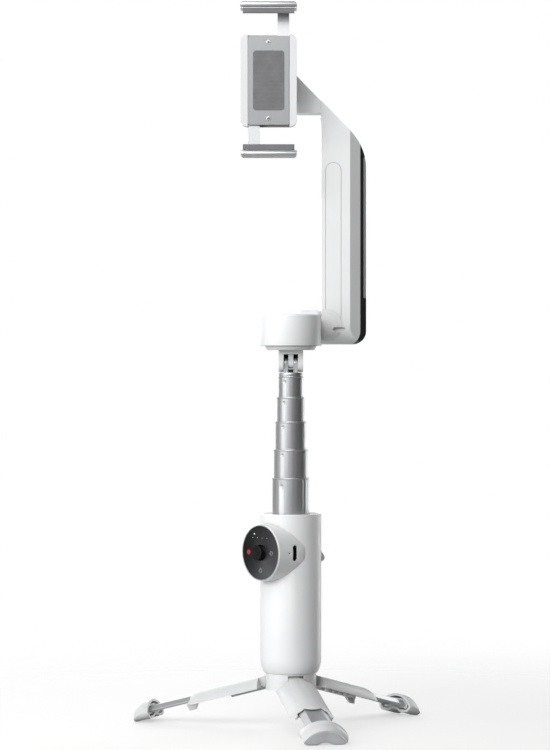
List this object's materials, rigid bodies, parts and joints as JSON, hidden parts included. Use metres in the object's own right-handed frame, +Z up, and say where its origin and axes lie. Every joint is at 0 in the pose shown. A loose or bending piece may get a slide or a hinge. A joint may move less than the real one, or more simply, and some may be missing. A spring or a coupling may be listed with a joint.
{
  "type": "gimbal stabilizer",
  "caption": "Hand-held phone gimbal with a telescopic rod, fold-out tripod, round control pod, folding arm and spring-clamp head.",
  "frame": {"origin": "mouth of the threaded tripod socket, on the handle's axis in the underside of the tripod hub, 22 mm above the floor when the splayed feet stand on it", "axes": "+Z up the handle and the pan axis, -Y the way the phone clamp faces, +X to the right seen from the front, the side of the upright arm"},
  "size_m": [0.172, 0.167, 0.4233],
  "materials": {
    "white_shell": "satin",
    "polished_steel": "polished",
    "satin_steel": "satin",
    "grey_rubber": "matt",
    "black_panel": "gloss",
    "grey_plastic": "matt",
    "winding": "enamelled copper wire",
    "cell_wrap": "shrink wrap",
    "board": "solder mask",
    "lamp": "clear",
    "gear_brass": "machined",
    "magnet_plate": "satin"
  },
  "bodies": {
    "base": {"tripod_hub": "white_shell", "tripod_socket": "polished_steel", "leg_pins": "polished_steel", "handle_shell": "white_shell", "handle_cap": "grey_plastic", "rod_sleeve": "grey_plastic", "control_pod": "white_shell", "pod_rim": "polished_steel", "usb_port": "polished_steel", "status_lamp": "lamp", "circuit_board": "board"},
    "disc": {"control_disc": "black_panel"},
    "stick_ring": {"joystick_yoke": "grey_plastic"},
    "stick": {"joystick": "black_panel"},
    "wheel": {"zoom_wheel": "grey_plastic"},
    "trigger_lever": {"trigger": "white_shell"},
    "leg_1": {"leg_shell_1": "white_shell"},
    "leg_1_slide": {"leg_rail_1": "satin_steel", "foot_1": "white_shell", "foot_pad_1": "grey_rubber"},
    "leg_2": {"leg_shell_2": "white_shell"},
    "leg_2_slide": {"leg_rail_2": "satin_steel", "foot_2": "white_shell", "foot_pad_2": "grey_rubber"},
    "leg_3": {"leg_shell_3": "white_shell"},
    "leg_3_slide": {"leg_rail_3": "satin_steel", "foot_3": "white_shell", "foot_pad_3": "grey_rubber"},
    "rod_1": {"rod_tube_1": "polished_steel"},
    "rod_2": {"rod_tube_2": "polished_steel"},
    "rod_3": {"rod_tube_3": "polished_steel"},
    "rod_4": {"rod_tube_4": "polished_steel"},
    "rod_5": {"rod_tube_5": "polished_steel", "rod_knuckle": "polished_steel"},
    "head": {"head_fork": "white_shell", "hinge_pin": "polished_steel", "pan_base": "white_shell", "pan_stator": "winding"},
    "pan": {"pan_housing": "white_shell", "fold_barrel": "white_shell"},
    "arm": {"arm_front": "white_shell", "arm_back": "white_shell", "arm_cover": "white_shell", "arm_inlay": "black_panel", "arm_trim": "satin_steel", "battery_cell": "cell_wrap", "fold_latch": "grey_plastic", "roll_housing": "white_shell", "roll_stator": "winding"},
    "roll": {"roll_arm": "white_shell", "tilt_stator": "winding"},
    "tilt": {"tilt_housing": "white_shell", "tilt_plate": "magnet_plate"},
    "clamp": {"clamp_body": "white_shell", "clamp_cover": "satin_steel"},
    "jaw_top": {"upper_jaw": "satin_steel", "upper_pad": "grey_rubber"},
    "jaw_bottom": {"lower_jaw": "satin_steel", "lower_pad": "grey_rubber"},
    "pinion": {"jaw_gear": "gear_brass"}
  },
  "joints": [
    {"name": "leg_1_fold", "type": "hinge", "parent": "base", "child": "leg_1", "pos_m": [0.00243, -0.01175, 0.0057], "axis": [0.9792, 0.2028, 0], "range_deg": [0, 75.3]},
    {"name": "leg_1_extend", "type": "slide", "parent": "leg_1", "child": "leg_1_slide", "axis": [0.1961, -0.9472, -0.2538], "range_m": [-0.0245, 0]},
    {"name": "leg_2_fold", "type": "hinge", "parent": "base", "child": "leg_2", "pos_m": [0.00896, 0.00798, 0.0057], "axis": [-0.6652, 0.7466, 0], "range_deg": [0, 75.3]},
    {"name": "leg_2_extend", "type": "slide", "parent": "leg_2", "child": "leg_2_slide", "axis": [0.7222, 0.6435, -0.2538], "range_m": [-0.0245, 0]},
    {"name": "leg_3_fold", "type": "hinge", "parent": "base", "child": "leg_3", "pos_m": [-0.01139, 0.00377, 0.0057], "axis": [-0.314, -0.9494, 0], "range_deg": [0, 75.3]},
    {"name": "leg_3_extend", "type": "slide", "parent": "leg_3", "child": "leg_3_slide", "axis": [-0.9183, 0.3037, -0.2538], "range_m": [-0.0245, 0]},
    {"name": "disc_press", "type": "slide", "parent": "base", "child": "disc", "axis": [0.7466, 0.6652, 0], "range_m": [0, 0.0005], "stiffness_N_per_m": 2500},
    {"name": "stick_side", "type": "hinge", "parent": "base", "child": "stick_ring", "pos_m": [-0.01456, -0.01297, 0.081], "axis": [0, 0, 1], "range_deg": [-11, 11], "stiffness_Nm_per_rad": 0.03},
    {"name": "stick_up_down", "type": "hinge", "parent": "stick_ring", "child": "stick", "pos_m": [-0.01456, -0.01297, 0.081], "axis": [0.6652, -0.7466, 0], "range_deg": [-11, 11], "stiffness_Nm_per_rad": 0.03},
    {"name": "wheel_turn", "type": "hinge", "parent": "base", "child": "wheel", "pos_m": [-0.02026, -0.00131, 0.081], "axis": [-0.7466, -0.6652, 0], "continuous": true},
    {"name": "trigger_pull", "type": "hinge", "parent": "base", "child": "trigger_lever", "pos_m": [0.0112, 0.00998, 0.088], "axis": [-0.6652, 0.7466, 0], "range_deg": [0, 5], "stiffness_Nm_per_rad": 0.2},
    {"name": "rod_1_slide", "type": "slide", "parent": "base", "child": "rod_1", "axis": [0, 0, 1], "range_m": [-0.0196, 0.0219]},
    {"name": "rod_2_slide", "type": "slide", "parent": "rod_1", "child": "rod_2", "axis": [0, 0, 1], "range_m": [-0.0152, 0.0263]},
    {"name": "rod_3_slide", "type": "slide", "parent": "rod_2", "child": "rod_3", "axis": [0, 0, 1], "range_m": [-0.0149, 0.0266]},
    {"name": "rod_4_slide", "type": "slide", "parent": "rod_3", "child": "rod_4", "axis": [0, 0, 1], "range_m": [-0.0128, 0.0287]},
    {"name": "rod_5_slide", "type": "slide", "parent": "rod_4", "child": "rod_5", "axis": [0, 0, 1], "range_m": [-0.0108, 0.0307]},
    {"name": "head_tip", "type": "hinge", "parent": "rod_5", "child": "head", "pos_m": [0, 0, 0.1914], "axis": [1, 0, 0], "range_deg": [0, 90]},
    {"name": "pan_motor", "type": "hinge", "parent": "head", "child": "pan", "pos_m": [0, 0, 0.205], "axis": [0, 0, 1], "range_deg": [-160, 170]},
    {"name": "arm_fold", "type": "hinge", "parent": "pan", "child": "arm", "pos_m": [0, 0.031, 0.2134], "axis": [-1, 0, 0], "range_deg": [0, 180]},
    {"name": "roll_motor", "type": "hinge", "parent": "arm", "child": "roll", "pos_m": [-0.013, 0.035, 0.3565], "axis": [0, 1, 0], "range_deg": [-135, 190]},
    {"name": "tilt_motor", "type": "hinge", "parent": "roll", "child": "tilt", "pos_m": [-0.013, 0.009, 0.3565], "axis": [1, 0, 0], "range_deg": [-90, 90]},
    {"name": "clamp_release", "type": "slide", "parent": "tilt", "child": "clamp", "axis": [0, -1, 0], "range_m": [0, 0.025]},
    {"name": "jaw_open", "type": "slide", "parent": "clamp", "child": "jaw_top", "axis": [0, 0, 1], "range_m": [-0.01, 0.003]},
    {"name": "jaw_follow", "type": "slide", "parent": "clamp", "child": "jaw_bottom", "axis": [0, 0, -1], "range_m": [-0.01, 0.003]},
    {"name": "pinion_turn", "type": "hinge", "parent": "clamp", "child": "pinion", "pos_m": [-0.013, -0.01, 0.3565], "axis": [0, -1, 0], "range_deg": [-150, 46]}
  ],
  "couplings": [
    {"joint": "jaw_follow", "follows": "jaw_open", "ratio": 1},
    {"joint": "pinion_turn", "follows": "jaw_open", "rad_per_m": 259.74}
  ]
}
